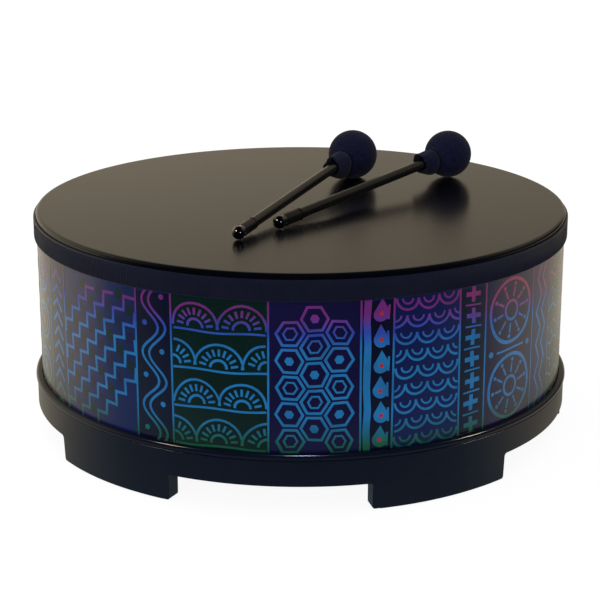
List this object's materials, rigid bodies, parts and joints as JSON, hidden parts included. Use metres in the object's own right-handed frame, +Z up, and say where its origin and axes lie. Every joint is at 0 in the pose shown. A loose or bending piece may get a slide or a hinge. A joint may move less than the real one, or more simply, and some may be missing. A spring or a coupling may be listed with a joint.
{
  "type": "gathering drum",
  "caption": "Low, wide floor drum with a fixed head, printed shell and moulded footed ring, with a pair of cloth-headed mallets lying on the head.",
  "frame": {"origin": "on the floor, at the middle of the drum", "axes": "+Z up along the drum's axis; -Y is the side shown to the front; +X is to its right"},
  "size_m": [0.5724, 0.5724, 0.2888],
  "materials": {
    "fibre_shell": "raw resin-bonded fibreboard",
    "printed_laminate": "printed sheet under a clear gloss laminate",
    "suede_film": "polyester film with a matt suede-like coat",
    "steel_band": "flat rolled band",
    "hoop_plastic": "black plastic with fine upright ribs",
    "ring_plastic": "satin black moulding",
    "pad_rubber": "matt black rubber",
    "screw_steel": "blackened steel",
    "mallet_shaft": "glossy black rod",
    "end_ball_gloss": "polished black",
    "end_sleeve_matt": "matt charcoal sleeve",
    "mallet_core": "moulded foam rubber",
    "mallet_cloth": "navy-black knitted cloth",
    "neck_elastic": "black elastic"
  },
  "bodies": {
    "drum": {"shell": "fibre_shell", "printed_sleeve": "printed_laminate", "drumhead": "suede_film", "flesh_hoop": "steel_band", "ribbed_hoop": "hoop_plastic", "base_ring": "ring_plastic", "foot_pad_1": "pad_rubber", "foot_pad_2": "pad_rubber", "foot_pad_3": "pad_rubber", "foot_pad_4": "pad_rubber", "foot_pad_5": "pad_rubber", "base_screw_1": "screw_steel", "base_screw_2": "screw_steel", "base_screw_3": "screw_steel", "base_screw_4": "screw_steel", "base_screw_5": "screw_steel"},
    "mallet_left": {"mallet_left_shaft": "mallet_shaft", "mallet_left_end_ball": "end_ball_gloss", "mallet_left_end_sleeve": "end_sleeve_matt", "mallet_left_core": "mallet_core", "mallet_left_cover": "mallet_cloth", "mallet_left_neck_band": "neck_elastic"},
    "mallet_right": {"mallet_right_shaft": "mallet_shaft", "mallet_right_end_ball": "end_ball_gloss", "mallet_right_end_sleeve": "end_sleeve_matt", "mallet_right_core": "mallet_core", "mallet_right_cover": "mallet_cloth", "mallet_right_neck_band": "neck_elastic"}
  },
  "joints": [
    {"name": "mallet_left_lift", "type": "slide", "parent": "drum", "child": "mallet_left", "axis": [0, 0, 1], "range_m": [0, 0.15]},
    {"name": "mallet_right_lift", "type": "slide", "parent": "drum", "child": "mallet_right", "axis": [0, 0, 1], "range_m": [0, 0.15]}
  ]
}
